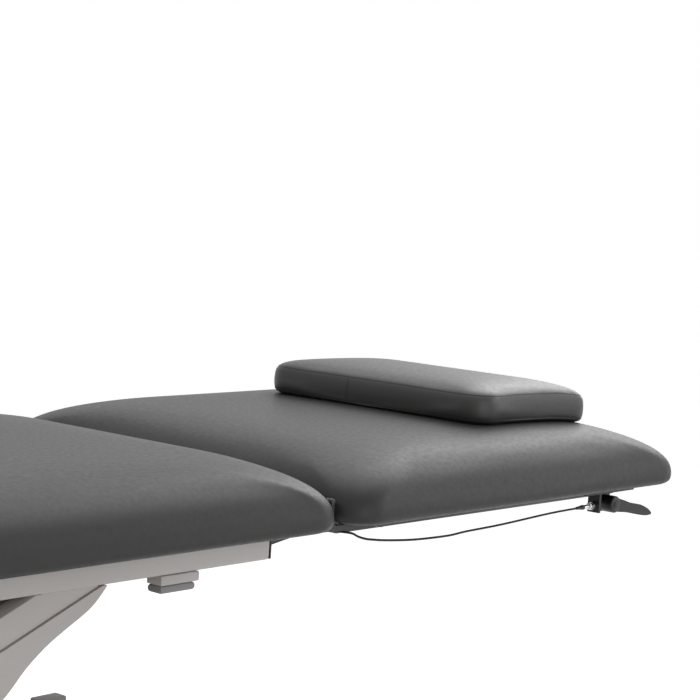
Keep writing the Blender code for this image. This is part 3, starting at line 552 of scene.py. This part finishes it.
# Weld beads where tubes and plates meet
weldSet = {"trussY": (0.2462, 0.2706), "trussX": (0.386, 0.302), "trussBead": 0.0014, "seatCrossY": 0.2436,
           "short": 0.004, "baseTop": 0.0394, "baseCrossY": 0.2345, "lugY": (0.2636, 0.2736), "lugHalf": 0.046,
           "postY": (0.2515, 0.2715), "postHalf": 0.019, "postEdge": 0.020, "postEndY": (0.2525, 0.2705),
           "hornY": (-0.0343, -0.0257, 0.0257, 0.0343), "hornRing": 0.0203, "hornSteps": 40, "hornBead": 0.0018}
trussLow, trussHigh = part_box("truss_near")
trussMid = (trussLow.x + trussHigh.x) / 2
upperWelds, baseWelds, armWelds = [], [], []
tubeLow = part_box("base_tube_near")[0]
baseTop = tubeLow.z + weldSet["baseTop"]
short = weldSet["short"]
for s in (-1, 1):
    for end in (-1, 1):
        outX, inX = (trussMid + end * x for x in weldSet["trussX"])
        for y in weldSet["trussY"]:
            upperWelds.append(bead((outX, s * y, trussHigh.z), (inX, s * y, trussHigh.z), weldSet["trussBead"]))
    crossY = s * weldSet["seatCrossY"]
    for cross in ("seat_cross_front", "seat_cross_rear"):
        low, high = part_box(cross)
        for x in (low.x, high.x):
            upperWelds.append(bead((x, crossY, trussHigh.z + short), (x, crossY, high.z - short)))
    crossY = s * weldSet["baseCrossY"]
    for cross in ("base_cross_foot", "base_cross_mid", "base_cross_head"):
        low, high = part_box(cross)
        baseWelds.append(bead((low.x + short, crossY, baseTop), (high.x - short, crossY, baseTop)))
        for x in (low.x, high.x):
            baseWelds.append(bead((x, crossY, tubeLow.z + short), (x, crossY, baseTop - short)))
    for axle in ("lower_axle_front", "lower_axle_rear"):
        low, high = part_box(axle)
        x, reach = (low.x + high.x) / 2, weldSet["lugHalf"]
        for y in weldSet["lugY"]:
            baseWelds.append(bead((x - reach, s * y, baseTop), (x + reach, s * y, baseTop)))
    low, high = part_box("buffer_near")
    x, reach = (low.x + high.x) / 2, weldSet["postHalf"]
    for y in weldSet["postY"]:
        baseWelds.append(bead((x - reach, s * y, baseTop), (x + reach, s * y, baseTop)))
    inY, outY = (s * y for y in weldSet["postEndY"])
    for dx in (-weldSet["postEdge"], weldSet["postEdge"]):
        baseWelds.append(bead((x + dx, inY, baseTop), (x + dx, outY, baseTop)))
gather("seatFrameWelds", upperWelds, "taupe_paint", "upper_frame")
gather("baseFrameWelds", baseWelds, "taupe_paint", "base")
pivotFront = joints["lift"]
ringAngle = np.linspace(0, 2 * np.pi, weldSet["hornSteps"])
ringX = pivotFront[0] + weldSet["hornRing"] * np.cos(ringAngle)
ringZ = pivotFront[2] + weldSet["hornRing"] * np.sin(ringAngle)
for y in weldSet["hornY"]:
    ringLine = np.c_[ringX, np.full(len(ringX), y), ringZ]
    armWelds += [bead(a, b, weldSet["hornBead"]) for a, b in zip(ringLine[:-1], ringLine[1:])]
gather("hornWelds", armWelds, "taupe_paint", "front_arms")

# Upholstery hem and staples on the underside of each board
hemSet = {"wide": 0.025, "thick": 0.00030, "clear": 0.00002, "edge": 0.0005, "corners": (0.02, 0.012, 0.014),
          "pitch": 0.046, "stapleLine": 0.6, "staple": (0.010, 0.0004), "weld": 0.00001}


# Hem: a flat band between two rounded rectangles; its section is a closed thin rectangle
def underHem(name, node, body):
    low, high = (np.array(c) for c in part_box(node))
    mid, half = (low + high)[:2] / 2, (high - low)[:2] / 2
    outerCorner, innerCorner, stapleCorner = hemSet["corners"]
    outer = roundedLoop(half[0] - hemSet["edge"], half[1] - hemSet["edge"], outerCorner)
    inner = roundedLoop(half[0] - hemSet["wide"], half[1] - hemSet["wide"], innerCorner)
    near, deep = -hemSet["clear"], -hemSet["thick"]
    levels = [(outer, near), (outer, deep), (inner, deep), (inner, near), (outer, near)]
    grid = np.array([np.c_[loop + mid, np.full(len(loop), low[2] + z)] for loop, z in levels])
    piece = gridPiece(name, grid)
    work = bmesh.new()
    work.from_mesh(piece.data)
    bmesh.ops.remove_doubles(work, verts=work.verts, dist=hemSet["weld"])
    bmesh.ops.recalc_face_normals(work, faces=work.faces)
    work.to_mesh(piece.data)
    work.free()
    piece.data.polygons.foreach_set("use_smooth", [False] * len(piece.data.polygons))
    dress(piece, "upholstery")
    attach(piece, body)
    inset = hemSet["wide"] * hemSet["stapleLine"]
    line = roundedLoop(half[0] - inset, half[1] - inset, stapleCorner)
    line = np.c_[line + mid, np.full(len(line), low[2] - hemSet["thick"])]
    wires = [capsule(at, ahead, *hemSet["staple"]) for at, ahead in zip(*paced(line, hemSet["pitch"]))]
    gather(name + "Staples", wires, "bright_steel", body)


underHem("seatHem", "seat_board", "upper_frame")
underHem("backHem", "back_board", "back_section")

# Lift actuator trim: mouth collar, motor cap with ribs, gear case screws
actuatorSet = {"collarAt": 0.2835, "motorAt": 0.200, "motorY": 0.056, "ribs": (-0.100, -0.012, 34),
               "ribRadii": (0.0302, 0.0294),
               "screwX": (0.037, 0.078), "screwY": (-0.020, 0.080), "face": 0.0299,
               "collar": [(0.0125, 0.0), (0.0262, 0.0), (0.0272, 0.0015), (0.0272, 0.0110), (0.0262, 0.0125),
                          (0.0178, 0.0145), (0.0128, 0.0145)],
               "motorCap": [(0.0295, -0.006), (0.0305, -0.004), (0.0305, 0.004), (0.0285, 0.008),
                            (0.0200, 0.0115), (0.0060, 0.0125), (0.0010, 0.0125)]}
screwSet = {"sides": 18, "profile": [(0.0042, 0.0), (0.0042, 0.0010), (0.0036, 0.0021), (0.0022, 0.0027),
                                     (0.0018, 0.0016), (0.0006, 0.0016)]}


def panHead(place, axis):
    return turned(screwSet["profile"], place, axis, screwSet["sides"])


pinLow, pinHigh = joints["actuator_tilt"], joints["actuator_rod_tilt"]
lieAxis = (pinHigh - pinLow) / np.linalg.norm(pinHigh - pinLow)
liftUp = np.cross(lieAxis, (0.0, 1.0, 0.0))
ribs = [(actuatorSet["ribRadii"][k % 2], x) for k, x in enumerate(np.linspace(*actuatorSet["ribs"]))]
motorEnd = pinLow + lieAxis * actuatorSet["motorAt"] + (0, actuatorSet["motorY"], 0)
trim = [turned(actuatorSet["collar"], pinLow + lieAxis * actuatorSet["collarAt"], lieAxis),
        turned(actuatorSet["motorCap"], motorEnd, lieAxis), turned(ribs, motorEnd, lieAxis)]
gather("actuatorTrim", trim, "black_plastic", "actuator_housing")
caseScrews = [panHead(pinLow + lieAxis * x + liftUp * (side * actuatorSet["face"]) + (0, y, 0), liftUp * side)
              for x in actuatorSet["screwX"] for y in actuatorSet["screwY"] for side in (-1, 1)]
gather("gearCaseScrews", caseScrews, "bright_steel", "actuator_housing")

# Gas spring collar and tail cap
gasSet = {"collarAt": 0.1635, "tailAt": 0.0905,
          "collar": [(0.0058, 0.0), (0.0112, 0.0), (0.0120, 0.0010), (0.0120, 0.0080), (0.0108, 0.0098),
                     (0.0074, 0.0110), (0.0058, 0.0110)],
          "tail": [(0.0112, 0.0), (0.0119, 0.0010), (0.0119, 0.0090), (0.0100, 0.0120), (0.0040, 0.0130),
                   (0.0008, 0.0130)]}
gasPin = joints["gas_cylinder_tilt"]
trim = [turned(gasSet["collar"], gasPin + (gasSet["collarAt"], 0, 0), (1, 0, 0)),
        turned(gasSet["tail"], gasPin - (gasSet["tailAt"], 0, 0), (-1, 0, 0))]
gather("gasSpringTrim", trim, "bright_steel", "gas_cylinder")

# Control box lid, screws and cable glands
controlSet = {"corner": 0.010, "tightest": 0.006, "ease": 0.1, "arcAndEdges": (8, 4, 4), "proud": 0.0002,
              "screwInset": 0.012, "screwRise": 0.0014, "glandY": (-0.045, 0.045), "glandDrop": 0.004,
              "lid": [(0.004, -0.0165), (-0.0010, -0.0165), (-0.0016, -0.0158), (-0.0016, -0.0010),
                      (-0.0004, 0.0012), (0.0030, 0.0022), (0.0090, 0.0026), (0.0110, 0.0018), (0.0130, 0.0018),
                      (0.0150, 0.0026), (0.0500, 0.0026)],
              "gland": [(0.0125, -0.001, 1), (0.0125, 0.005, 1), (0.0095, 0.0055), (0.0095, 0.009),
                        (0.0118, 0.0095, 1), (0.0118, 0.015, 1), (0.0090, 0.0180), (0.0058, 0.0188),
                        (0.0052, 0.0160), (0.0006, 0.0160)]}
boxLow, boxHigh = (np.array(c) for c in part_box("control_box"))
boxMid, boxHalf = (boxLow + boxHigh) / 2, (boxHigh - boxLow) / 2
lidRows = []
for inset, z in controlSet["lid"]:
    corner = max(controlSet["tightest"], controlSet["corner"] - controlSet["ease"] * inset)
    loop = roundedLoop(boxHalf[0] - inset, boxHalf[1] - inset, corner, *controlSet["arcAndEdges"])
    lidRows.append(np.c_[loop + boxMid[:2], np.full(len(loop), boxHigh[2] + z)])
lidRows = np.array(lidRows)
lidRows[..., 0] = np.minimum(lidRows[..., 0], boxHigh[0] + controlSet["proud"])
gather("controlLid", [lidRows], "grey_plastic", "base")
screwX, screwY = boxHalf[:2] - controlSet["screwInset"]
screwZ = boxHigh[2] + controlSet["screwRise"]
lidScrews = [panHead((boxMid[0] + sx * screwX, boxMid[1] + sy * screwY, screwZ), (0, 0, 1))
             for sx in (-1, 1) for sy in (-1, 1)]
gather("controlScrews", lidScrews, "bright_steel", "base")
glands = [turned(controlSet["gland"], (boxLow[0], y, boxMid[2] - controlSet["glandDrop"]), (-1, 0, 0))
          for y in controlSet["glandY"]]
gather("controlGland", glands, "black_plastic", "base")

# Lever bracket screws, cable boot at the adjuster and the adjuster's lock nut
leverSet = {"y": -0.308, "thick": 0.0041, "ends": 0.011, "middle": 0.060, "screwY": (-0.288, -0.284),
            "bootSides": 20, "nutAt": 0.0150,
            "boot": [(0.0016, -0.0160), (0.0021, -0.0155), (0.0023, -0.0120), (0.0028, -0.0070),
                     (0.0034, -0.0020), (0.0036, 0.0010), (0.0034, 0.0022), (0.0030, 0.0024)],
            "nut": [(0.0030, 0.0), (0.0050, 0.0, 1), (0.0054, 0.0006, 1), (0.0054, 0.0036, 1),
                    (0.0050, 0.0042, 1), (0.0030, 0.0042)]}
plateLow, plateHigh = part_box("lever_bracket")
footY, headY = leverSet["screwY"]
screwRow = [(plateLow.x + leverSet["ends"], footY), (plateHigh.x - leverSet["ends"], headY),
            (plateLow.x + leverSet["middle"], headY)]
plateScrews = [panHead((x, y, plateHigh.z - leverSet["thick"]), (0, 0, -1)) for x, y in screwRow]
gather("bracketScrews", plateScrews, "bright_steel", "back_section")
adjustLow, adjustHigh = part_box("cable_adjuster")
adjustZ = (adjustLow.z + adjustHigh.z) / 2
boot = turned(leverSet["boot"], (adjustLow.x, leverSet["y"], adjustZ), (1, 0, 0), leverSet["bootSides"])
gather("cableBoot", [boot], "black_plastic", "back_section")
lockNut = turned(leverSet["nut"], (adjustLow.x + leverSet["nutAt"], leverSet["y"], adjustZ), (1, 0, 0))
gather("adjusterNut", [lockNut], "bright_steel", "back_section")
print("hardware done")

# Pale floor and backdrop
stageSet = {"size": 60.0, "level": -0.0005, "pale": 0.60, "rough": 0.9, "specular": 0.1, "lift": 0.80}
floorMesh = bpy.data.meshes.new("floor")
h, level = stageSet["size"] / 2, stageSet["level"]
floorMesh.from_pydata([(-h, -h, level), (h, -h, level), (h, h, level), (-h, h, level)], [], [(0, 1, 2, 3)])
floor = bpy.data.objects.new("floor", floorMesh)
scene.collection.objects.link(floor)
pale, paleTree, paleShader = newFinish("paleFloor")
paleShader.inputs["Base Color"].default_value = (*grey(stageSet["pale"]), 1.0)
paleShader.inputs["Roughness"].default_value = stageSet["rough"]
paleShader.inputs["Specular IOR Level"].default_value = stageSet["specular"]
paleShader.inputs["Emission Color"].default_value = (1, 1, 1, 1)
ray = shaderNode(paleTree, "ShaderNodeLightPath").outputs
seenRays = {0: ray["Is Camera Ray"], 1: ray["Is Glossy Ray"]}
seen = shaderNode(paleTree, "ShaderNodeMath", seenRays, operation="MAXIMUM")
lift = shaderNode(paleTree, "ShaderNodeMath", {0: seen.outputs[0], 1: stageSet["lift"]}, operation="MULTIPLY")
paleTree.links.new(lift.outputs[0], paleShader.inputs["Emission Strength"])
floor.data.materials.append(pale)

# Soft studio light; each lamp has its power, place, aim and size
lightSet = {"world": 0.31, "key": (30.0, (1.2, 0.5, 3.1), (0.4, 0.0, 0.75), 2.6),
            "head": (19.5, (2.4, 0.3, 1.9), (0.7, 0.0, 0.75), 1.4),
            "side": (12.0, (2.6, -1.9, 1.5), (0.5, 0.0, 0.7), 1.6),
            "front": (26.0, (-0.4, -3.8, 0.9), (0.0, 0.0, 0.6), 2.2)}
world = bpy.data.worlds.new("studio")
scene.world = world
world.use_nodes = True
sky = world.node_tree
sky.nodes.clear()
path = shaderNode(sky, "ShaderNodeLightPath").outputs
directRays = {0: path["Is Camera Ray"], 1: path["Is Glossy Ray"]}
direct = shaderNode(sky, "ShaderNodeMath", directRays, operation="MAXIMUM")
throughRays = {0: direct.outputs[0], 1: path["Is Transmission Ray"]}
direct = shaderNode(sky, "ShaderNodeMath", throughRays, operation="MAXIMUM")
dim = shaderNode(sky, "ShaderNodeBackground", {"Color": (1, 1, 1, 1), "Strength": lightSet["world"]})
white = shaderNode(sky, "ShaderNodeBackground", {"Color": (1, 1, 1, 1), "Strength": 1.0})
both = shaderNode(sky, "ShaderNodeMixShader", {0: direct.outputs[0], 1: dim.outputs[0], 2: white.outputs[0]})
sky.links.new(both.outputs[0], shaderNode(sky, "ShaderNodeOutputWorld").inputs["Surface"])
for name in ("key", "head", "side", "front"):
    power, place, aim, size = lightSet[name]
    lamp = bpy.data.objects.new(name + "Light", bpy.data.lights.new(name + "Light", "AREA"))
    lamp.data.energy, lamp.data.size = power, size
    lamp.location = place
    lamp.rotation_euler = (Vector(aim) - Vector(place)).to_track_quat("-Z", "Y").to_euler()
    scene.collection.objects.link(lamp)
print("stage and light done")
